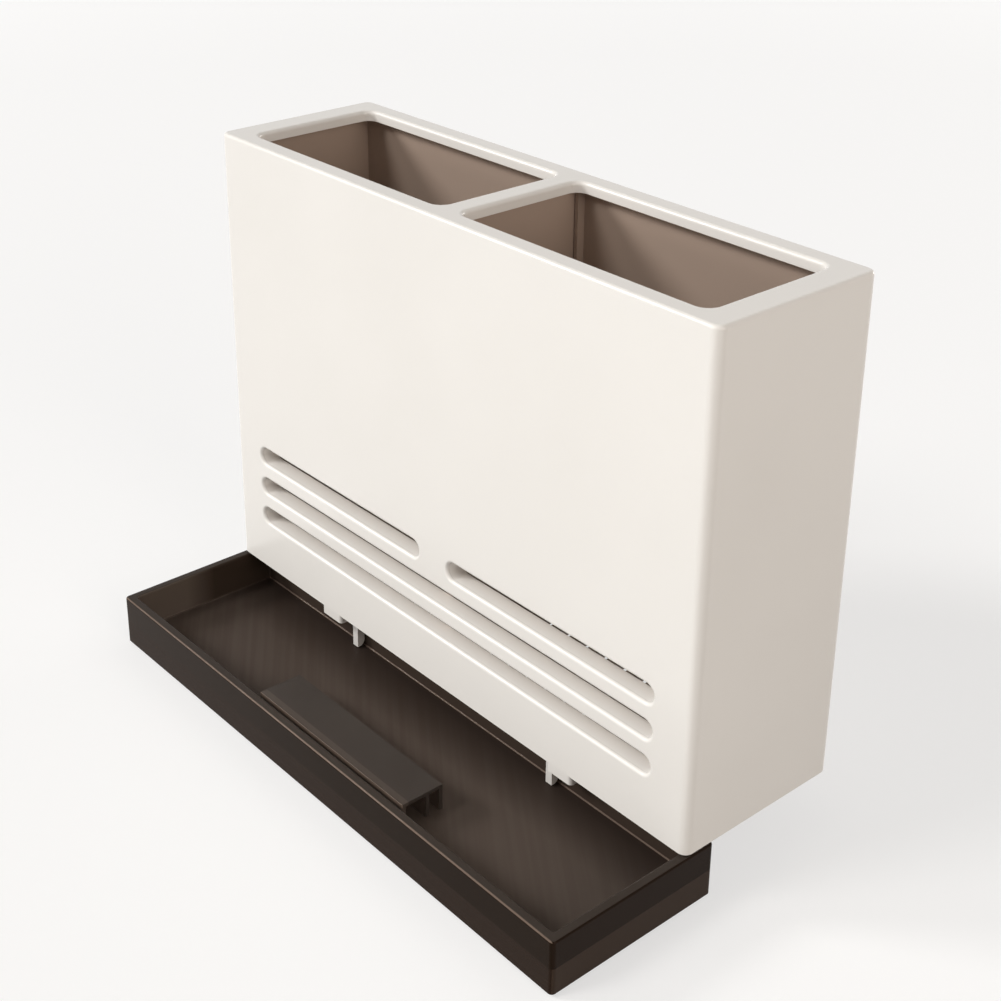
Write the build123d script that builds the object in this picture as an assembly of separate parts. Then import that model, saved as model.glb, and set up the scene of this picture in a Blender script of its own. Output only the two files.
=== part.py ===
from build123d import *
import os

# Wall-mounted chopstick and cutlery holder with a drip tray that slides out under it.
# Millimetres. X runs left to right, Y runs from the room towards the wall, Z is up.
# The origin is the middle of the adhesive pad's rear face, which lies on the wall.
# At rest the drip tray is pulled out to its stop.

# Body
WIDTH = 190.9
DEPTH = 53.5
HEIGHT = 137.8
WALL = 2.6
CORNER_R = 2.6
TOP_EDGE_R = 1.0
BOTTOM_BEVEL = 0.4

# Top frame: an inward flange with one mouth for each compartment and a bar between them
FRAME_T = 3.1
SIDE_RIM = 8.75
LONG_RIM = 6.0
BAR_W = 7.0
MOUTH_R = 3.5
MOUTH_EDGE_R = 1.1

# Slots: full-width rows with one split row above them, cut through a thickened louvre block
SLOT_H = 5.3
SLOT_PITCH = 10.2
FULL_ROWS = 2
SLOT_LOW_Z = 18.8
SLOT_MARGIN = 13.05
SLOT_SPLIT = 12.2
SLOT_EDGE_R = 1.0
LOUVRE_DEPTH = 5.75
LOUVRE_WEB = 1.9
LOUVRE_SLOPE = 6.0

# Tabs under the front edge: the closed stop of the tray
TAB_INSET = 45.65
TAB_W = 9.5
TAB_T = 2.8
TAB_SETBACK = 1.3
TAB_DROP = 3.7
TAB_ROOT = 3.0
TAB_R = 1.2

# Partition and its guide ribs
PARTITION_T = 2.2
PARTITION_SEAT = 1.2
GUIDE_W = 1.2
GUIDE_D = 2.4
GUIDE_LIFT = 5.0

# Drain base
BASE_LIFT = 7.6
BASE_T = 2.4
BASE_RIB_W = 1.6
BASE_RIB_H = 3.0
RIB_MARGIN = 3.0
DRAIN_W = 3.4
DRAIN_L = 32.0
DRAIN_PITCH = 7.4
DRAIN_COLUMNS = 6
DRAIN_START = 9.5
DRAIN_EDGE = 8.0
SNAP_D = 0.9
SNAP_L = 26.0

# Stop posts under the drain base
POST_INSET = 52.75
POST_W = 2.3
POST_D = 2.5
POST_SETBACK = 4.8
POST_LENGTH = 19.1
POST_HEEL_R = 2.0

# Drip tray
TRAY_H = 15.9
TRAY_WALL = 2.8
TRAY_DEEP = 11.5
TRAY_FOOT = 1.8
TRAY_CORNER_R = 1.2
TRAY_FLOOR_R = 0.6
TRAY_RIM_R = 0.65
TRAY_BOTTOM_BEVEL = 0.6
CORNER_STEP = 0.2

# T-shaped tongues on the tray's rear wall, and the runners that carry them
TONGUE_INSET = 28.25
STEM_W = 3.0
HEAD_W = 9.0
HEAD_T = 2.0
RUNNER_WALL = 1.6
PEG_R = 2.0
PEG_INSET = 9.0

# Splash bridge on the tray's floor
BRIDGE_W = 64.2
BRIDGE_D = 13.3
BRIDGE_H = 7.6
BRIDGE_T = 1.0
BRIDGE_RIB = 1.2
BRIDGE_SETBACK = 6.85
BRIDGE_RIB_PITCH = 5.6

# Wall plate, its T-shaped hooks and the pockets that take them
PLATE_W = 120.0
PLATE_H = 50.0
PLATE_T = 2.0
PLATE_R = 6.0
PLATE_DROP = 34.5
PAD_T = 1.0
PAD_INSET = 3.0
HOOK_INSET = 20.0
NECK_W = 8.0
NECK_H = 6.0
HOOK_W = 16.0
HOOK_H = 12.0
HOOK_T = 1.6
LIP_T = 1.8
POCKET_WALL = 1.4
HOOK_LIFT = 13.0

# Rubber feet low on the back
BUMPER_R = 6.0
BUMPER_INSET = 14.25
BUMPER_Z = 16.0
BUMPER_BEVEL = 0.8

# Clearances
HANG_GAP = 0.4
FIT = 0.3
SLIDE = 0.2
TRAY_GAP = 0.3
STOP_GAP = 0.3
OVER = 1.0

# Places worked out from the sizes
BACK = -(PAD_T + PLATE_T + HANG_GAP)
FRONT = BACK - DEPTH
TOP = PLATE_DROP
BOTTOM = TOP - HEIGHT
HALF_W = WIDTH / 2
FRAME_LOW = TOP - FRAME_T
FRONT_INNER = FRONT + WALL
BACK_INNER = BACK - WALL
SIDE_INNER = HALF_W - WALL
MOUTH_W = HALF_W - SIDE_RIM - BAR_W / 2
MOUTH_D = DEPTH - 2 * LONG_RIM
MOUTH_X = (BAR_W + MOUTH_W) / 2
MID_Y = (FRONT + BACK) / 2
TAB_X = HALF_W - TAB_INSET
POST_X = HALF_W - POST_INSET
TONGUE_X = HALF_W - TONGUE_INSET
BUMPER_X = HALF_W - BUMPER_INSET
HOOK_X = PLATE_W / 2 - HOOK_INSET

SLOT_Z = [BOTTOM + SLOT_LOW_Z + row * SLOT_PITCH for row in range(FULL_ROWS + 1)]
LOUVRE_BACK = FRONT + LOUVRE_DEPTH
LOUVRE_LOW = SLOT_Z[0] - SLOT_H / 2 - LOUVRE_WEB
LOUVRE_HIGH = SLOT_Z[-1] + SLOT_H / 2 + LOUVRE_WEB

BASE_LOW = BOTTOM + BASE_LIFT
BASE_TOP = BASE_LOW + BASE_T

POST_FRONT = FRONT + POST_SETBACK
TRAY_TOP = BOTTOM - TRAY_GAP
TRAY_LOW = TRAY_TOP - TRAY_H
TRAY_FLOOR = TRAY_TOP - TRAY_DEEP
TRAY_REAR_INNER = POST_FRONT + POST_D + STOP_GAP
TRAY_FRONT = TRAY_REAR_INNER + TRAY_WALL - DEPTH
TRAY_REAR = TRAY_FRONT + DEPTH
TRAY_TRAVEL = FRONT + TAB_SETBACK - STOP_GAP - (TRAY_FRONT + TRAY_WALL)

RUNNER_W = HEAD_W + 2 * (FIT + RUNNER_WALL)
RUNNER_MOUTH = STEM_W + 2 * FIT
CAVITY_HIGH = BASE_LOW - RUNNER_WALL
CAVITY_LOW = CAVITY_HIGH - HEAD_T - FIT - SLIDE
TONGUE_FRONT = FRONT_INNER + 2 * FIT
TONGUE_BACK = BACK_INNER - FIT - TRAY_TRAVEL
RUNNER_FRONT = FRONT_INNER + FIT
RUNNER_BACK = BACK_INNER - FIT

HOOK_LOW = -HOOK_H / 2
ENTRY_LOW = HOOK_LOW - HOOK_LIFT - FIT
ENTRY_HIGH = HOOK_LOW + HOOK_H - HOOK_LIFT + FIT
POCKET_HIGH = HOOK_LOW + HOOK_H + FIT
HOOK_CAVITY = HOOK_T + 2 * FIT


def block(x0, x1, y0, y1, z0, z1):
    centre = Pos((x0 + x1) / 2, (y0 + y1) / 2, (z0 + z1) / 2)
    return centre * Box(x1 - x0, y1 - y0, z1 - z0)


def both_sides(shape):
    return [shape, mirror(shape, about=Plane.YZ)]


def along_x(points, x0, x1):
    profile = make_face(Polyline(*points, close=True).edges())
    return extrude(Plane.YZ.offset(x0) * profile, x1 - x0)


def along_y(points, y0, y1):
    profile = make_face(Polyline(*points, close=True).edges())
    return extrude(Plane.XZ.offset(-y1) * profile, y1 - y0)


def slot_cutter(x0, x1, z):
    outline = Plane(((x0 + x1) / 2, FRONT - OVER, z), x_dir=(1, 0, 0), z_dir=(0, 1, 0))
    return extrude(outline * SlotOverall(x1 - x0, SLOT_H), LOUVRE_DEPTH + 2 * OVER)


def slot_cutters():
    end = HALF_W - SLOT_MARGIN
    cutters = [slot_cutter(-end, end, z) for z in SLOT_Z[:FULL_ROWS]]
    cutters += both_sides(slot_cutter(SLOT_SPLIT / 2, end, SLOT_Z[-1]))
    return cutters


def mouth_cutter():
    mouth = Pos(MOUTH_X, MID_Y, TOP - FRAME_T - OVER) * RectangleRounded(MOUTH_W, MOUTH_D, MOUTH_R)
    return extrude(mouth, FRAME_T + 2 * OVER)


def box_with_frame():
    box = block(-HALF_W, HALF_W, FRONT, BACK, BOTTOM, TOP)
    box = fillet(box.edges().filter_by(Axis.Z), CORNER_R)
    box = fillet(box.edges().group_by(Axis.Z)[-1], TOP_EDGE_R)
    box = chamfer(box.edges().group_by(Axis.Z)[0], BOTTOM_BEVEL)
    box -= block(-SIDE_INNER, SIDE_INNER, FRONT_INNER, BACK_INNER, BOTTOM - OVER, FRAME_LOW)
    for mouth in both_sides(mouth_cutter()):
        box -= mouth
    frame_top = box.faces().sort_by(Axis.Z)[-1]
    return fillet(frame_top.inner_wires().edges(), MOUTH_EDGE_R)


def louvre_block():
    points = [
        (FRONT_INNER - OVER, LOUVRE_LOW),
        (LOUVRE_BACK, LOUVRE_LOW),
        (LOUVRE_BACK, LOUVRE_HIGH),
        (FRONT_INNER, LOUVRE_HIGH + LOUVRE_SLOPE),
        (FRONT_INNER - OVER, LOUVRE_HIGH + LOUVRE_SLOPE),
    ]
    return along_x(points, -SIDE_INNER, SIDE_INNER)


def front_tab():
    y0 = FRONT + TAB_SETBACK
    tab = block(TAB_X - TAB_W / 2, TAB_X + TAB_W / 2, y0, y0 + TAB_T, BOTTOM - TAB_DROP, BOTTOM + TAB_ROOT)
    front_edges = tab.edges().filter_by(Axis.Z).group_by(Axis.Y)[0]
    return fillet(front_edges, TAB_R)


def guide_ribs():
    x0 = PARTITION_T / 2 + FIT
    low = LOUVRE_HIGH + LOUVRE_SLOPE
    front = block(x0, x0 + GUIDE_W, FRONT_INNER, FRONT_INNER + GUIDE_D, low, FRAME_LOW)
    back = block(x0, x0 + GUIDE_W, BACK_INNER - GUIDE_D, BACK_INNER, BASE_TOP + GUIDE_LIFT, FRAME_LOW)
    return both_sides(front) + both_sides(back)


def partition_groove():
    half = PARTITION_T / 2 + FIT
    return block(-half, half, FRONT_INNER, BACK_INNER, FRAME_LOW - OVER, FRAME_LOW + PARTITION_SEAT + SLIDE)


def snap_profile(wall, reach):
    high = BASE_LOW - SLIDE
    return [(wall - reach, high), (wall + reach, high), (wall - reach, high - 4 * abs(reach))]


def snap_beads():
    half = SNAP_L / 2
    beads = both_sides(along_y(snap_profile(SIDE_INNER, -SNAP_D), MID_Y - half, MID_Y + half))
    for profile in (snap_profile(FRONT_INNER, SNAP_D), snap_profile(BACK_INNER, -SNAP_D)):
        beads += both_sides(along_x(profile, POST_X / 2 - half, POST_X / 2 + half))
    return beads


def hook_pocket():
    half = HOOK_W / 2 + FIT
    lip = BACK - LIP_T
    boss = block(
        HOOK_X - half - POCKET_WALL, HOOK_X + half + POCKET_WALL,
        lip - HOOK_CAVITY - POCKET_WALL, BACK_INNER + OVER,
        ENTRY_LOW - POCKET_WALL, POCKET_HIGH + POCKET_WALL)
    cavity = block(HOOK_X - half, HOOK_X + half, lip - HOOK_CAVITY, lip, ENTRY_LOW, POCKET_HIGH)
    entry = block(HOOK_X - half, HOOK_X + half, lip - OVER, BACK + OVER, ENTRY_LOW, ENTRY_HIGH)
    neck = NECK_W / 2 + FIT
    slot = block(HOOK_X - neck, HOOK_X + neck, lip - OVER, BACK + OVER, ENTRY_LOW, NECK_H / 2 + SLIDE)
    return boss, cavity + entry + slot


def outer_shell():
    shell = box_with_frame() + louvre_block()
    for cutter in slot_cutters():
        shell -= cutter
    front_face = shell.faces().sort_by(Axis.Y)[0]
    shell = fillet(front_face.inner_wires().edges(), SLOT_EDGE_R)
    for piece in both_sides(front_tab()) + guide_ribs() + snap_beads():
        shell += piece
    shell -= partition_groove()
    boss, hollow = hook_pocket()
    for piece in both_sides(boss):
        shell += piece
    for piece in both_sides(hollow):
        shell -= piece
    return shell


def partition():
    front = FRONT_INNER + FIT
    back = BACK_INNER - FIT
    low = BASE_TOP + SLIDE
    notch_back = LOUVRE_BACK + FIT
    points = [
        (notch_back, low),
        (back, low),
        (back, FRAME_LOW + PARTITION_SEAT),
        (front, FRAME_LOW + PARTITION_SEAT),
        (front, LOUVRE_HIGH + LOUVRE_SLOPE + FIT),
        (notch_back, LOUVRE_HIGH + FIT),
    ]
    return along_x(points, -PARTITION_T / 2, PARTITION_T / 2)


def drain_holes():
    columns = [DRAIN_START + index * DRAIN_PITCH for index in range(DRAIN_COLUMNS)]
    columns.append(SIDE_INNER - DRAIN_EDGE)
    holes = []
    for x in columns:
        holes += both_sides(block(
            x - DRAIN_W / 2, x + DRAIN_W / 2, MID_Y - DRAIN_L / 2, MID_Y + DRAIN_L / 2,
            BASE_LOW - OVER, BASE_TOP + OVER))
    return holes


def stop_post():
    x0 = POST_X - POST_W / 2
    post = block(x0, x0 + POST_W, POST_FRONT, POST_FRONT + POST_D, BASE_LOW - POST_LENGTH, BASE_LOW)
    heel = post.edges().filter_by(Axis.X).group_by(Axis.Z)[0].sort_by(Axis.Y)[-1]
    return fillet(heel, min(POST_HEEL_R, POST_D - STOP_GAP))


def base_ribs():
    half = TONGUE_X - RUNNER_W / 2 - RIB_MARGIN
    rib = block(-half, half, MID_Y - BASE_RIB_W / 2, MID_Y + BASE_RIB_W / 2, BASE_LOW - BASE_RIB_H, BASE_LOW)
    x0 = PARTITION_T / 2 + FIT
    keeper = block(
        x0, x0 + GUIDE_W, LOUVRE_BACK + RIB_MARGIN, BACK_INNER - GUIDE_D - RIB_MARGIN, BASE_TOP, BASE_TOP + GUIDE_D)
    return [rib] + both_sides(keeper)


def peg_places():
    return (RUNNER_FRONT + PEG_INSET, RUNNER_BACK - PEG_INSET)


def drain_base():
    base = block(
        -SIDE_INNER + FIT, SIDE_INNER - FIT, FRONT_INNER + FIT, BACK_INNER - FIT, BASE_LOW, BASE_TOP)
    for hole in drain_holes():
        base -= hole
    for y in peg_places():
        hole = Pos(TONGUE_X, y, BASE_LOW + BASE_T / 2) * Cylinder(PEG_R + SLIDE, BASE_T + OVER)
        for piece in both_sides(hole):
            base -= piece
    for piece in both_sides(stop_post()) + base_ribs():
        base += piece
    return base


def runner():
    half = RUNNER_W / 2
    low = CAVITY_LOW - RUNNER_WALL
    rail = block(TONGUE_X - half, TONGUE_X + half, RUNNER_FRONT, RUNNER_BACK, low, BASE_LOW)
    inner = half - RUNNER_WALL
    y0 = RUNNER_FRONT - OVER
    y1 = RUNNER_BACK + OVER
    rail -= block(TONGUE_X - inner, TONGUE_X + inner, y0, y1, CAVITY_LOW, CAVITY_HIGH)
    mouth = RUNNER_MOUTH / 2
    rail -= block(TONGUE_X - mouth, TONGUE_X + mouth, y0, y1, low - OVER, CAVITY_LOW + OVER)
    for y in peg_places():
        rail += Pos(TONGUE_X, y, BASE_LOW + BASE_T / 2) * Cylinder(PEG_R, BASE_T)
    return rail


def tray_shell():
    tray = block(-HALF_W, HALF_W, TRAY_FRONT, TRAY_REAR, TRAY_LOW, TRAY_TOP)
    tray = fillet(tray.edges().filter_by(Axis.Z), TRAY_CORNER_R)
    tray = chamfer(tray.edges().group_by(Axis.Z)[0], TRAY_BOTTOM_BEVEL)
    inner = HALF_W - TRAY_WALL
    y0 = TRAY_FRONT + TRAY_WALL
    y1 = TRAY_REAR - TRAY_WALL
    hollow = block(-inner, inner, y0, y1, TRAY_FLOOR, TRAY_TOP + TRAY_WALL)
    hollow = fillet(hollow.edges().filter_by(Axis.Z), TRAY_FLOOR_R + CORNER_STEP)
    hollow = fillet(hollow.edges().group_by(Axis.Z)[0], TRAY_FLOOR_R)
    tray -= hollow
    tray -= block(-inner, inner, y0, y1, TRAY_LOW - OVER, TRAY_LOW + TRAY_FOOT)
    rim = tray.faces().sort_by(Axis.Z)[-1]
    return fillet(rim.edges(), TRAY_RIM_R)


def tongue():
    half = STEM_W / 2
    head_low = CAVITY_LOW + SLIDE
    stem = block(TONGUE_X - half, TONGUE_X + half, TONGUE_FRONT, TONGUE_BACK, TRAY_TOP - TRAY_RIM_R, head_low)
    head_half = HEAD_W / 2
    head = block(
        TONGUE_X - head_half, TONGUE_X + head_half, TONGUE_FRONT, TONGUE_BACK, head_low, head_low + HEAD_T)
    root = TRAY_REAR_INNER + TRAY_WALL / 2
    reach = TRAY_REAR_INNER - TONGUE_FRONT
    gusset = along_x(
        [
            (TONGUE_FRONT, TRAY_TOP),
            (root, TRAY_TOP),
            (root, TRAY_TOP - TRAY_WALL - reach),
            (TRAY_REAR_INNER, TRAY_TOP - TRAY_WALL - reach),
            (TONGUE_FRONT, TRAY_TOP - TRAY_RIM_R),
        ],
        TONGUE_X - half, TONGUE_X + half)
    return stem + head + gusset


def drip_tray():
    tray = tray_shell()
    for piece in both_sides(tongue()):
        tray += piece
    return tray


def splash_bridge():
    half = BRIDGE_W / 2
    y0 = TRAY_FRONT + BRIDGE_SETBACK
    y1 = y0 + BRIDGE_D
    top = TRAY_FLOOR + BRIDGE_H
    bridge = block(-half, half, y0, y1, top - BRIDGE_T, top)
    middle = y1 - BRIDGE_RIB_PITCH
    for y in (y0, middle, y1 - BRIDGE_RIB):
        bridge += block(-half, half, y, y + BRIDGE_RIB, TRAY_FLOOR, top - BRIDGE_T)
    return bridge


def wall_plate():
    outline = Plane((0, -PAD_T, 0), x_dir=(1, 0, 0), z_dir=(0, -1, 0))
    plate = extrude(outline * RectangleRounded(PLATE_W, PLATE_H, PLATE_R), PLATE_T)
    face = -(PAD_T + PLATE_T)
    head_back = BACK - LIP_T - FIT
    neck = block(HOOK_X - NECK_W / 2, HOOK_X + NECK_W / 2, head_back, face, -NECK_H / 2, NECK_H / 2)
    head = block(
        HOOK_X - HOOK_W / 2, HOOK_X + HOOK_W / 2, head_back - HOOK_T, head_back,
        HOOK_LOW, HOOK_LOW + HOOK_H)
    for piece in both_sides(neck + head):
        plate += piece
    return plate


def adhesive_pad():
    outline = Plane((0, 0, 0), x_dir=(1, 0, 0), z_dir=(0, -1, 0))
    size = RectangleRounded(PLATE_W - 2 * PAD_INSET, PLATE_H - 2 * PAD_INSET, PLATE_R - PAD_INSET)
    return extrude(outline * size, PAD_T)


def wall_bumpers():
    thickness = -BACK - SLIDE
    disc = Pos(BUMPER_X, BACK + thickness / 2, BOTTOM + BUMPER_Z) * Rot(90, 0, 0) * Cylinder(BUMPER_R, thickness)
    disc = chamfer(disc.edges().group_by(Axis.Y)[-1], BUMPER_BEVEL)
    return Compound(children=both_sides(disc))


def save(name, shape):
    export_step(shape, f"parts/{name}.step")


os.makedirs("parts", exist_ok=True)
right_runner = runner()
save("outer_shell", outer_shell())
save("partition", partition())
save("drain_base", drain_base())
save("runner_left", mirror(right_runner, about=Plane.YZ))
save("runner_right", right_runner)
save("drip_tray", drip_tray())
save("splash_bridge", splash_bridge())
save("wall_plate", wall_plate())
save("adhesive_pad", adhesive_pad())
save("wall_bumpers", wall_bumpers())
print(f"mouth {MOUTH_W:.2f} x {MOUTH_D:.2f}, tray travel {TRAY_TRAVEL:.2f}, pulled out {FRONT - TRAY_FRONT:.2f}")
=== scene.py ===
import math

import bpy
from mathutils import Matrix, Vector


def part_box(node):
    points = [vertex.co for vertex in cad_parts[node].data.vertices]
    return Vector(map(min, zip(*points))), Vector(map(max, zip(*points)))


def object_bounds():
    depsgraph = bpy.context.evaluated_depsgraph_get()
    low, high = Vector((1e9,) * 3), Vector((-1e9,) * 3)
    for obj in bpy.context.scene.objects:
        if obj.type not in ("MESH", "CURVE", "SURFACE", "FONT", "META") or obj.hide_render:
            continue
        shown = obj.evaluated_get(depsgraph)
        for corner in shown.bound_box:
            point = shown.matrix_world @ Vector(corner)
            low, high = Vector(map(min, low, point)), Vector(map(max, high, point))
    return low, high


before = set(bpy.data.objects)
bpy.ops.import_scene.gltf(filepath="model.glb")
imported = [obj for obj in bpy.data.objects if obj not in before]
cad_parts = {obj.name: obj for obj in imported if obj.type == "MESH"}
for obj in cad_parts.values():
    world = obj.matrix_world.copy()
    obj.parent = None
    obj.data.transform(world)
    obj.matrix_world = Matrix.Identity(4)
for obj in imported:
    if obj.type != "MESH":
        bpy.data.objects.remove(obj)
cadLow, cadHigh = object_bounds()
print("stage: frame loaded,", len(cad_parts), "nodes")

noiseSpan = (0.3, 0.7)    # where a noise field mostly lies


# helpers for shader nodes
def newTree(name):
    material = bpy.data.materials.new(name)
    material.use_nodes = True
    tree = material.node_tree
    tree.nodes.clear()
    return material, tree


def addNode(tree, kind, **values):
    node = tree.nodes.new(kind)
    for key, value in values.items():
        if key in node.bl_rna.properties:
            setattr(node, key, value)
        else:
            node.inputs[key.replace("_", " ")].default_value = value
    return node


def objectSpace(tree):
    return addNode(tree, "ShaderNodeTexCoord").outputs["Object"]


def axesOf(tree, space):
    axes = addNode(tree, "ShaderNodeSeparateXYZ")
    tree.links.new(space, axes.inputs["Vector"])
    return tuple(axes.outputs[name] for name in "XYZ")


def noiseField(tree, vector, scale, detail=2.0):
    noise = addNode(tree, "ShaderNodeTexNoise", Scale=scale, Detail=detail)
    tree.links.new(vector, noise.inputs["Vector"])
    return noise.outputs["Fac"]


def spread(tree, field, low, high, lowOut=0.0, highOut=1.0):
    fit = addNode(tree, "ShaderNodeMapRange")
    for key, value in (("From Min", low), ("From Max", high), ("To Min", lowOut), ("To Max", highOut)):
        fit.inputs[key].default_value = value
    tree.links.new(field, fit.inputs["Value"])
    return fit.outputs["Result"]


def compare(tree, value, operation, limit):
    node = addNode(tree, "ShaderNodeMath", operation=operation)
    tree.links.new(value, node.inputs[0])
    node.inputs[1].default_value = limit
    return node.outputs[0]


def fromMiddle(tree, x):
    return compare(tree, x, "ABSOLUTE", 0.0)


def combine(tree, operation, *fields):
    total = fields[0]
    for field in fields[1:]:
        node = addNode(tree, "ShaderNodeMath", operation=operation)
        tree.links.new(total, node.inputs[0])
        tree.links.new(field, node.inputs[1])
        total = node.outputs[0]
    return total


def twoTones(tree, field, dark, light, low=0.35, high=0.65):
    ramp = addNode(tree, "ShaderNodeValToRGB")
    ramp.color_ramp.elements[0].position = low
    ramp.color_ramp.elements[0].color = (*dark, 1)
    ramp.color_ramp.elements[1].position = high
    ramp.color_ramp.elements[1].color = (*light, 1)
    tree.links.new(field, ramp.inputs["Fac"])
    return ramp.outputs["Color"]


def mixTones(tree, mask, under, over):
    mix = addNode(tree, "ShaderNodeMix", data_type="RGBA")
    tree.links.new(mask, mix.inputs[0])
    for socket, tone in ((mix.inputs[6], under), (mix.inputs[7], over)):
        if isinstance(tone, tuple):
            socket.default_value = (*tone, 1)
        else:
            tree.links.new(tone, socket)
    return mix.outputs[2]


def bumpOf(tree, field, depth):
    bump = addNode(tree, "ShaderNodeBump", Distance=depth)
    tree.links.new(field, bump.inputs["Height"])
    return bump.outputs["Normal"]


def backgroundRays(tree):
    rays = addNode(tree, "ShaderNodeLightPath")
    return combine(
        tree, "MAXIMUM",
        *(rays.outputs[name] for name in ("Is Camera Ray", "Is Glossy Ray", "Is Transmission Ray")))


def finishWith(tree, shader):
    output = addNode(tree, "ShaderNodeOutputMaterial")
    tree.links.new(shader, output.inputs["Surface"])


# moulded white plastic of the shell, the partition and the drain base
shellPlastic = {
    "shade": (0.826, 0.803, 0.770),
    "tint": (0.848, 0.825, 0.793),
    "innerShadeTone": (0.43, 0.333, 0.273),    # painted shade: inner walls darker than the plastic, where shade falls inside the box
    "slotLipLight": (0.985, 0.96, 0.93),       # painted light inside a slot, at its lip, brighter than the plastic
    "slotBackShade": (0.87, 0.82, 0.765),      # painted shade at its far edge, where the wall shades it
    "wall": 0.0026,
    "frameDepth": 0.0031,
    "louvreDepth": 0.00575,
    "louvreTop": 0.0440,                  # above the lower edge of the box
    "slotRound": 0.0011,
    "tabDrop": 0.0037,
    "slack": 0.00002,                     # how far a mask reaches past its face
    "cloudScale": 16.0,
    "grainScale": 2400.0,
    "grainDepth": 0.000006,
    "rippleScale": 60.0,
    "roughLow": 0.20,
    "roughHigh": 0.26,
    "ior": 1.43,
}


def shellMasks(tree, space, spec):
    low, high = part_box("outer_shell")
    edge = low.z + spec["tabDrop"]
    slack = spec["slack"]
    x, y, z = axesOf(tree, space)
    between = compare(tree, fromMiddle(tree, x), "LESS_THAN", high.x - spec["wall"] + slack)
    aboveEdge = compare(tree, z, "GREATER_THAN", edge + slack)
    room = combine(
        tree, "MULTIPLY", between, aboveEdge,
        compare(tree, y, "GREATER_THAN", low.y + spec["wall"] - slack),
        compare(tree, y, "LESS_THAN", high.y - spec["wall"] + slack),
        compare(tree, z, "LESS_THAN", high.z - spec["frameDepth"] + slack))
    clearOfLouvre = combine(
        tree, "MAXIMUM",
        compare(tree, y, "GREATER_THAN", low.y + spec["louvreDepth"] - slack),
        compare(tree, z, "GREATER_THAN", edge + spec["louvreTop"] - slack))
    inSlots = combine(
        tree, "MULTIPLY", between, aboveEdge,
        compare(tree, y, "GREATER_THAN", low.y + spec["slotRound"]),
        compare(tree, y, "LESS_THAN", low.y + spec["louvreDepth"]),
        compare(tree, z, "LESS_THAN", edge + spec["louvreTop"]))
    # painted light at each slot's lip, fading to painted shade at its far edge
    slotLightAndShade = mixTones(
        tree, spread(tree, y, low.y + spec["slotRound"], low.y + spec["louvreDepth"]),
        spec["slotLipLight"], spec["slotBackShade"])
    return combine(tree, "MULTIPLY", room, clearOfLouvre), inSlots, slotLightAndShade


def makeShellPlastic(spec):
    material, tree = newTree("satinWhitePlastic")
    space = objectSpace(tree)
    cloud = noiseField(tree, space, spec["cloudScale"])
    grain = noiseField(tree, space, spec["grainScale"])
    ripple = noiseField(tree, space, spec["rippleScale"], detail=3.0)
    inside, inSlots, slotLightAndShade = shellMasks(tree, space, spec)
    outside = mixTones(tree, inSlots, twoTones(tree, cloud, spec["shade"], spec["tint"]), slotLightAndShade)
    rough = spread(tree, ripple, *noiseSpan, spec["roughLow"], spec["roughHigh"])
    shader = addNode(tree, "ShaderNodeBsdfPrincipled", IOR=spec["ior"])
    # painted shade on the walls inside the box
    tree.links.new(mixTones(tree, inside, outside, spec["innerShadeTone"]), shader.inputs["Base Color"])
    tree.links.new(rough, shader.inputs["Roughness"])
    tree.links.new(bumpOf(tree, grain, spec["grainDepth"]), shader.inputs["Normal"])
    finishWith(tree, shader.outputs["BSDF"])
    return material


# smoke-brown clear plastic of the drip tray; its tones, face by face, are painted light, shade, see-through
# and highlights
smokePlastic = {
    # painted light at the left of the long walls, painted shade at the right
    "wallLitLeft": (0.0275, 0.0165, 0.0105),
    "wallShadedRight": (0.0140, 0.0060, 0.0012),
    "wallTurn": 0.02,                      # across the tray, where the right tone is full
    "wallCloud": 0.12,
    "bandTone": (0.0265, 0.0140, 0.0080),  # painted light of the thick bottom, seen through the walls
    # painted light and shade of the end walls' outer faces and of their band
    "endWall": (0.0205, 0.0102, 0.0050),
    "endBand": (0.058, 0.038, 0.027),
    "endSkin": 0.0004,
    # painted shade on the inner faces of the walls
    "innerShadeTone": (0.070, 0.050, 0.039),
    "endInnerLight": (0.125, 0.098, 0.081),      # painted light on the inner face of the left end wall
    "endBoxShadow": (0.045, 0.031, 0.023),      # painted shadow on the same face, near the box
    "endFade": (0.020, 0.030),             # from one to the other, behind the front
    # painted light on the top face of the rim
    "rimLitTone": (0.060, 0.048, 0.041),
    "edgeHighlight": (0.20, 0.148, 0.118),      # painted highlight on the front rim and the rear floor corner
    # painted shadow of the box on the floor, in front of the rear wall
    "floorRearShadow": (0.043, 0.030, 0.024),
    "rearFade": 0.018,
    # painted reflection streaks on the floor, dark and light
    "floorStreakDark": (0.0835, 0.0630, 0.0520),
    "floorStreakLight": (0.0960, 0.0742, 0.0618),
    "floorFront": (0.125, 0.100, 0.085),   # where the floor catches more light, at the right
    "lightSpan": (-0.01, 0.05),
    "lightShare": 0.4,
    "height": 0.0159,
    "deep": 0.0115,
    "wall": 0.0028,
    "bandDrop": 0.0079,
    # widths of the painted highlights on the front rim and the rear floor corner
    "rimHighlightWidth": 0.00038,
    "cornerHighlightWidth": 0.00034,
    "slack": 0.0001,
    "cloudScale": 22.0,
    "streakSize": (0.09, 0.0017, 0.05),
    "streakTurn": math.radians(144),
    "streakSpan": (0.38, 0.62),
    "roughWall": 0.15,
    "roughFloor": 0.38,
    "clearness": 0.25,
    "ior": 1.25,
    "gloss": 0.08,
    "glossTone": (1.0, 0.86, 0.76),
}


def streakField(tree, size, turn):
    mapping = addNode(tree, "ShaderNodeMapping", vector_type="TEXTURE", Scale=size, Rotation=(0, 0, turn))
    tree.links.new(objectSpace(tree), mapping.inputs["Vector"])
    return noiseField(tree, mapping.outputs["Vector"], 1.0)


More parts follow.
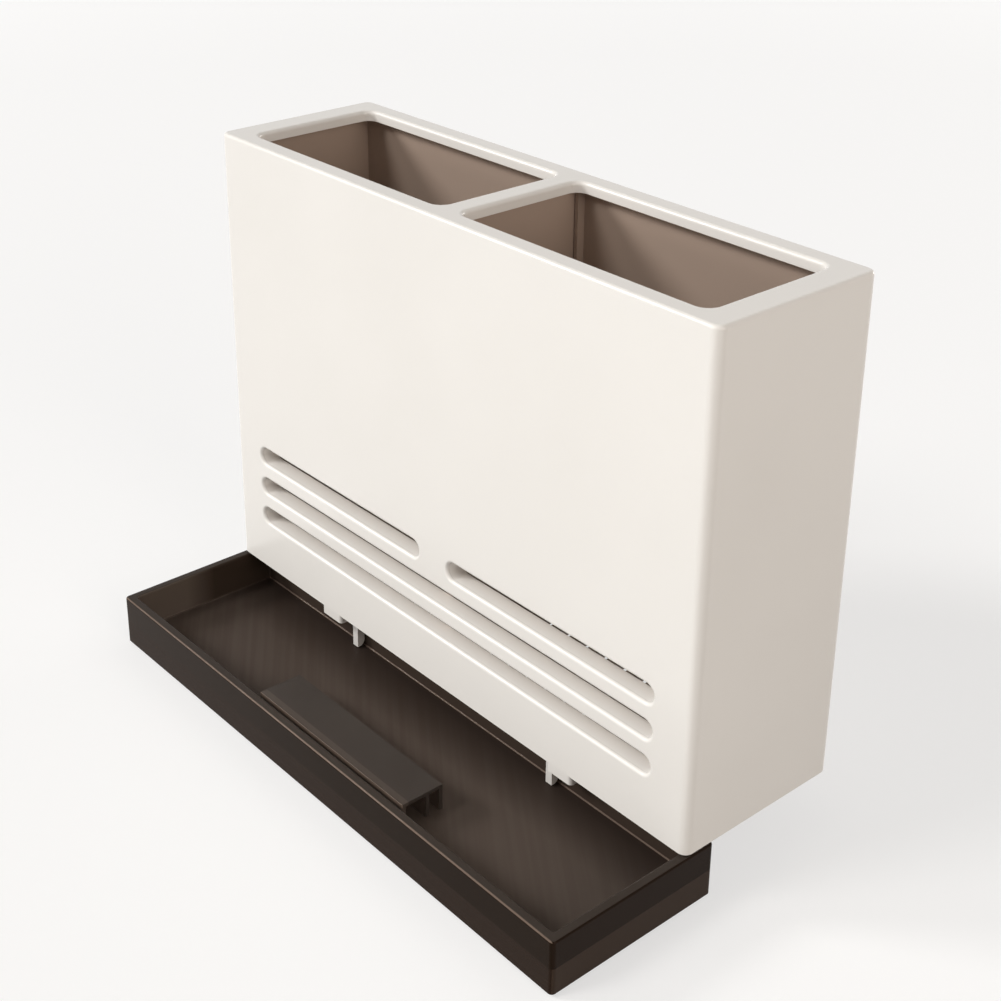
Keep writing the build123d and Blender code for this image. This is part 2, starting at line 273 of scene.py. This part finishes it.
def trayTones(tree, space, spec):
    low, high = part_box("drip_tray")
    top = low.z + spec["height"]
    floorTop = top - spec["deep"]
    rear = high.y - spec["wall"]
    slack = spec["slack"]
    x, y, z = axesOf(tree, space)
    width = fromMiddle(tree, x)
    outer = combine(
        tree, "MAXIMUM",
        compare(tree, width, "GREATER_THAN", high.x - spec["wall"] / 2),
        compare(tree, y, "LESS_THAN", low.y + spec["wall"] / 2),
        compare(tree, y, "GREATER_THAN", high.y - spec["wall"] / 2))
    within = compare(tree, outer, "LESS_THAN", 0.5)

    # inner and outer faces of the walls, with painted light and shade
    # painted light on the left end's inner face, fading to the box's painted shadow
    endFade = spread(tree, y, *(low.y + step for step in spec["endFade"]))
    endFace = mixTones(tree, endFade, spec["endInnerLight"], spec["endBoxShadow"])
    leftEnd = compare(tree, x, "LESS_THAN", low.x + spec["wall"] + slack)
    inner = mixTones(tree, leftEnd, spec["innerShadeTone"], endFace)
    cloud = noiseField(tree, space, spec["cloudScale"])
    # painted light on the long walls at the left, fading to painted shade at the right, with a random wander
    lightFalloff = combine(
        tree, "ADD", spread(tree, x, low.x, spec["wallTurn"]),
        spread(tree, cloud, *noiseSpan, -spec["wallCloud"], spec["wallCloud"]))
    front = mixTones(tree, lightFalloff, spec["wallLitLeft"], spec["wallShadedRight"])
    onEnd = compare(tree, width, "GREATER_THAN", high.x - spec["endSkin"])
    walls = mixTones(tree, outer, inner, mixTones(tree, onEnd, front, spec["endWall"]))

    # painted light of the bottom, as it shows through the walls
    bandTop = top - spec["bandDrop"]
    band = combine(tree, "MULTIPLY", outer, spread(tree, z, bandTop - slack, bandTop + slack, 1.0, 0.0))
    walls = mixTones(tree, band, walls, mixTones(tree, onEnd, spec["bandTone"], spec["endBand"]))
    below = combine(tree, "MULTIPLY", within, compare(tree, z, "LESS_THAN", floorTop))
    walls = mixTones(tree, below, walls, spec["bandTone"])

    # floor, with painted reflection streaks, painted light at the right and painted shadow of the box at its
    # rear
    reflectionStreak = streakField(tree, spec["streakSize"], spec["streakTurn"])
    bottom = twoTones(tree, reflectionStreak, spec["floorStreakDark"], spec["floorStreakLight"], *spec["streakSpan"])
    light = spread(tree, x, *spec["lightSpan"], 0.0, spec["lightShare"])
    bottom = mixTones(tree, light, bottom, spec["floorFront"])
    bottom = mixTones(tree, spread(tree, y, rear - spec["rearFade"], rear), bottom, spec["floorRearShadow"])
    onFloor = combine(
        tree, "MULTIPLY", within,
        compare(tree, z, "LESS_THAN", floorTop + slack),
        compare(tree, z, "GREATER_THAN", floorTop - slack))
    tones = mixTones(tree, onFloor, walls, bottom)

    # painted light on the rim's top, and painted highlights on the front rim and the rear floor corner
    tones = mixTones(tree, compare(tree, z, "GREATER_THAN", top - slack), tones, spec["rimLitTone"])
    frontHighlight = combine(
        tree, "MULTIPLY",
        compare(tree, y, "LESS_THAN", low.y + spec["rimHighlightWidth"]),
        compare(tree, z, "GREATER_THAN", top - spec["rimHighlightWidth"]))
    rearCornerHighlight = combine(
        tree, "MULTIPLY", within,
        compare(tree, y, "GREATER_THAN", rear - spec["cornerHighlightWidth"]),
        compare(tree, z, "LESS_THAN", floorTop + spec["cornerHighlightWidth"]),
        compare(tree, z, "GREATER_THAN", floorTop - slack))
    tones = mixTones(tree, combine(tree, "MAXIMUM", frontHighlight, rearCornerHighlight), tones, spec["edgeHighlight"])
    return tones, onFloor


def makeSmokePlastic(spec):
    material, tree = newTree("smokeBrownPlastic")
    tones, onFloor = trayTones(tree, objectSpace(tree), spec)
    shader = addNode(
        tree, "ShaderNodeBsdfPrincipled", IOR=spec["ior"], Transmission_Weight=spec["clearness"],
        Specular_IOR_Level=spec["gloss"], Specular_Tint=(*spec["glossTone"], 1))
    tree.links.new(tones, shader.inputs["Base Color"])
    tree.links.new(
        spread(tree, onFloor, 0.0, 1.0, spec["roughWall"], spec["roughFloor"]), shader.inputs["Roughness"])
    finishWith(tree, shader.outputs["BSDF"])
    return material


# the same smoke plastic, thinner and a little milky: the splash bridge
bridgePlastic = {
    "deep": (0.050, 0.0405, 0.035),
    "thin": (0.060, 0.049, 0.0425),
    "sidePaintedLight": (0.22, 0.17, 0.143),       # painted light on the walls and ribs under the top, standing in for light through the plastic
    "lipLight": (0.094, 0.074, 0.063),      # painted light on a strip of the top along its front edge
    "lipWidth": 0.0021,
    "edgeHighlight": (0.42, 0.32, 0.26),        # painted highlight on the front edge of the top plate
    "topThickness": 0.001,
    "slack": 0.0001,
    "cloudScale": 30.0,
    "rough": 0.3,
    "clearness": 0.25,
    "ior": 1.3,
    "gloss": 0.3,
    "glossTone": (1.0, 0.88, 0.80),
}


def makeBridgePlastic(spec):
    material, tree = newTree("milkySmokePlastic")
    space = objectSpace(tree)
    cloud = noiseField(tree, space, spec["cloudScale"])
    low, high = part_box("splash_bridge")
    slack = spec["slack"]
    lipEnd = low.y + spec["lipWidth"]
    x, y, z = axesOf(tree, space)
    # painted light on the walls and ribs under the top
    underTop = combine(
        tree, "MULTIPLY",
        compare(tree, z, "LESS_THAN", high.z - slack),
        compare(tree, fromMiddle(tree, x), "LESS_THAN", high.x - slack))
    # painted highlight on the top plate's front edge
    frontHighlight = combine(
        tree, "MULTIPLY",
        compare(tree, y, "LESS_THAN", low.y + slack),
        compare(tree, z, "GREATER_THAN", high.z - spec["topThickness"]))
    # painted light on the strip along the front edge
    lip = spread(tree, y, lipEnd - slack, lipEnd + slack, 1.0, 0.0)
    tones = mixTones(tree, lip, twoTones(tree, cloud, spec["deep"], spec["thin"]), spec["lipLight"])
    tones = mixTones(tree, frontHighlight, mixTones(tree, underTop, tones, spec["sidePaintedLight"]), spec["edgeHighlight"])
    shader = addNode(
        tree, "ShaderNodeBsdfPrincipled", IOR=spec["ior"], Roughness=spec["rough"],
        Transmission_Weight=spec["clearness"], Specular_IOR_Level=spec["gloss"],
        Specular_Tint=(*spec["glossTone"], 1))
    tree.links.new(tones, shader.inputs["Base Color"])
    finishWith(tree, shader.outputs["BSDF"])
    return material


# natural acetal of the two runners
runnerPlastic = {
    "shade": (0.70, 0.68, 0.63),
    "tint": (0.77, 0.75, 0.70),
    "cloudScale": 40.0,
    "grainScale": 1300.0,
    "grainDepth": 0.00003,
    "rough": 0.5,
}


def makeRunnerPlastic(spec):
    material, tree = newTree("naturalRunnerPlastic")
    space = objectSpace(tree)
    grain = noiseField(tree, space, spec["grainScale"], detail=3.0)
    cloud = noiseField(tree, space, spec["cloudScale"])
    shader = addNode(tree, "ShaderNodeBsdfPrincipled", Roughness=spec["rough"])
    tree.links.new(twoTones(tree, cloud, spec["shade"], spec["tint"]), shader.inputs["Base Color"])
    tree.links.new(bumpOf(tree, grain, spec["grainDepth"]), shader.inputs["Normal"])
    finishWith(tree, shader.outputs["BSDF"])
    return material


# spark-eroded satin plastic of the hanger plate
platePlastic = {
    "shade": (0.74, 0.73, 0.71),
    "tint": (0.80, 0.79, 0.77),
    "cloudScale": 24.0,
    "grainScale": 1700.0,
    "grainDepth": 0.00004,
    "roughLow": 0.38,
    "roughHigh": 0.5,
}


def makePlatePlastic(spec):
    material, tree = newTree("satinPlatePlastic")
    space = objectSpace(tree)
    grain = noiseField(tree, space, spec["grainScale"])
    cloud = noiseField(tree, space, spec["cloudScale"])
    rough = spread(tree, grain, *noiseSpan, spec["roughLow"], spec["roughHigh"])
    shader = addNode(tree, "ShaderNodeBsdfPrincipled")
    tree.links.new(twoTones(tree, cloud, spec["shade"], spec["tint"]), shader.inputs["Base Color"])
    tree.links.new(rough, shader.inputs["Roughness"])
    tree.links.new(bumpOf(tree, grain, spec["grainDepth"]), shader.inputs["Normal"])
    finishWith(tree, shader.outputs["BSDF"])
    return material


# closed-cell foam tape of the adhesive pad
padFoam = {
    "cell": (0.60, 0.60, 0.58),
    "skin": (0.74, 0.74, 0.71),
    "cellScale": 1500.0,
    "cellSpan": (0.1, 0.7),
    "cellDepth": 0.00018,
    "rough": 0.8,
}


def makePadFoam(spec):
    material, tree = newTree("closedCellFoam")
    foam = addNode(tree, "ShaderNodeTexVoronoi", Scale=spec["cellScale"])
    tree.links.new(objectSpace(tree), foam.inputs["Vector"])
    cells = foam.outputs["Distance"]
    shader = addNode(tree, "ShaderNodeBsdfPrincipled", Roughness=spec["rough"])
    tree.links.new(
        twoTones(tree, cells, spec["skin"], spec["cell"], *spec["cellSpan"]), shader.inputs["Base Color"])
    tree.links.new(bumpOf(tree, cells, spec["cellDepth"]), shader.inputs["Normal"])
    finishWith(tree, shader.outputs["BSDF"])
    return material


# soft clear-grey rubber of the wall feet
footRubber = {
    "shade": (0.36, 0.35, 0.33),
    "tint": (0.47, 0.46, 0.44),
    "grainScale": 900.0,
    "grainDepth": 0.00003,
    "rough": 0.62,
}


def makeFootRubber(spec):
    material, tree = newTree("softGreyRubber")
    grain = noiseField(tree, objectSpace(tree), spec["grainScale"], detail=3.0)
    shader = addNode(tree, "ShaderNodeBsdfPrincipled", Roughness=spec["rough"])
    tree.links.new(twoTones(tree, grain, spec["shade"], spec["tint"]), shader.inputs["Base Color"])
    tree.links.new(bumpOf(tree, grain, spec["grainDepth"]), shader.inputs["Normal"])
    finishWith(tree, shader.outputs["BSDF"])
    return material


whiteFinish = makeShellPlastic(shellPlastic)
smokeFinish = makeSmokePlastic(smokePlastic)
bridgeFinish = makeBridgePlastic(bridgePlastic)
runnerFinish = makeRunnerPlastic(runnerPlastic)
plateFinish = makePlatePlastic(platePlastic)
foamFinish = makePadFoam(padFoam)
rubberFinish = makeFootRubber(footRubber)

nodeFinish = {
    "outer_shell": whiteFinish,
    "partition": whiteFinish,
    "drain_base": whiteFinish,
    "runner_left": runnerFinish,
    "runner_right": runnerFinish,
    "drip_tray": smokeFinish,
    "splash_bridge": bridgeFinish,
    "wall_plate": plateFinish,
    "adhesive_pad": foamFinish,
    "wall_bumpers": rubberFinish,
}
for nodeName, finish in nodeFinish.items():
    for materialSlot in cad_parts[nodeName].material_slots:
        materialSlot.material = finish
print("stage: finishes on", len(nodeFinish), "nodes")


# pale floor
floorSheet = {
    "halfSize": 12.0,
    "gap": 0.0003,
    "color": (0.38, 0.377, 0.374),
    "liftNear": 0.585,    # seen by camera, gloss and glass only
    "liftFar": 0.88,
    "fadeFrom": 0.8,
    "fadeTo": 4.0,
    "rough": 0.75,
}


def makeFloor(spec, height):
    half = spec["halfSize"]
    mesh = bpy.data.meshes.new("floorSheet")
    corners = [(-half, -half, height), (half, -half, height), (half, half, height), (-half, half, height)]
    mesh.from_pydata(corners, [], [(0, 1, 2, 3)])
    floor = bpy.data.objects.new("floorSheet", mesh)
    bpy.context.scene.collection.objects.link(floor)
    material, tree = newTree("paleFloor")
    reach = addNode(tree, "ShaderNodeVectorMath", operation="LENGTH")
    tree.links.new(objectSpace(tree), reach.inputs[0])
    lift = spread(
        tree, reach.outputs["Value"], spec["fadeFrom"], spec["fadeTo"], spec["liftNear"], spec["liftFar"])
    shader = addNode(
        tree, "ShaderNodeBsdfPrincipled", Base_Color=(*spec["color"], 1), Roughness=spec["rough"],
        Emission_Color=(1, 1, 1, 1))
    tree.links.new(combine(tree, "MULTIPLY", backgroundRays(tree), lift), shader.inputs["Emission Strength"])
    finishWith(tree, shader.outputs["BSDF"])
    mesh.materials.append(material)


makeFloor(floorSheet, cadLow.z - floorSheet["gap"])


# studio light
softWhite = (1.0, 0.988, 0.965)
studio = {
    "ambient": (0.18, 0.170, 0.160),
    "backdrop": (1.0, 1.0, 1.0),
    "lamps": {
        "keyLamp": {
            "towards": (-1.15, -1.0, 0.8), "distance": 6.4, "size": 1.6, "power": 206.0, "color": softWhite},
        "highLamp": {
            "towards": (-0.4, -1.0, 1.0), "distance": 5.0, "size": 1.6, "power": 76.0, "color": softWhite},
        "lowLamp": {
            "towards": (-0.35, -1.0, 0.12), "distance": 5.0, "size": 1.4, "power": 62.0, "color": softWhite},
        "sideLamp": {
            "towards": (1.0, -0.12, 0.35), "distance": 1.1, "size": 0.6, "power": 4.4,
            "color": (1.0, 0.91, 0.825)},
        "backLamp": {
            "towards": (0.05, 1.0, 0.08), "distance": 2.4, "size": 1.0, "power": 24.0,
            "color": (1.0, 0.97, 0.93)},
    },
}


def makeWorld(spec):
    world = bpy.data.worlds.new("studioRoom")
    world.use_nodes = True
    tree = world.node_tree
    tree.nodes.clear()
    ambient = addNode(tree, "ShaderNodeBackground", Color=(*spec["ambient"], 1))
    backdrop = addNode(tree, "ShaderNodeBackground", Color=(*spec["backdrop"], 1))
    choice = addNode(tree, "ShaderNodeMixShader")
    tree.links.new(backgroundRays(tree), choice.inputs["Fac"])
    tree.links.new(ambient.outputs[0], choice.inputs[1])
    tree.links.new(backdrop.outputs[0], choice.inputs[2])
    output = addNode(tree, "ShaderNodeOutputWorld")
    tree.links.new(choice.outputs[0], output.inputs["Surface"])
    bpy.context.scene.world = world


def makeLamp(name, spec, target):
    lamp = bpy.data.lights.new(name, "AREA")
    lamp.shape = "DISK"
    lamp.size = spec["size"]
    lamp.energy = spec["power"]
    lamp.color = spec["color"]
    lampObject = bpy.data.objects.new(name, lamp)
    bpy.context.scene.collection.objects.link(lampObject)
    towards = Vector(spec["towards"]).normalized()
    lampObject.location = target + towards * spec["distance"]
    lampObject.rotation_euler = towards.to_track_quat("Z", "Y").to_euler()


makeWorld(studio)
for lampName, lampSpec in studio["lamps"].items():
    makeLamp(lampName, lampSpec, (cadLow + cadHigh) / 2)
print("stage: floor and lamps")


# camera
viewpoint = {
    "place": (0.307445, -0.305751, 0.169127),
    "azimuth": 50.111,
    "elevation": 22.908,
    "lens": 60.569,
    "sensor": 36.0,
    "shift": (0.04545, -0.16533),
    "clip": (0.01, 60.0),
}


def makeCamera(spec):
    data = bpy.data.cameras.new("viewpoint")
    data.lens = spec["lens"]
    data.sensor_width = spec["sensor"]
    data.shift_x, data.shift_y = spec["shift"]
    data.clip_start, data.clip_end = spec["clip"]
    camera = bpy.data.objects.new("viewpoint", data)
    bpy.context.scene.collection.objects.link(camera)
    camera.location = spec["place"]
    camera.rotation_euler = (math.radians(90 - spec["elevation"]), 0, math.radians(spec["azimuth"]))
    bpy.context.scene.camera = camera


makeCamera(viewpoint)
bpy.context.scene.view_settings.view_transform = "Standard"
print("stage: camera")
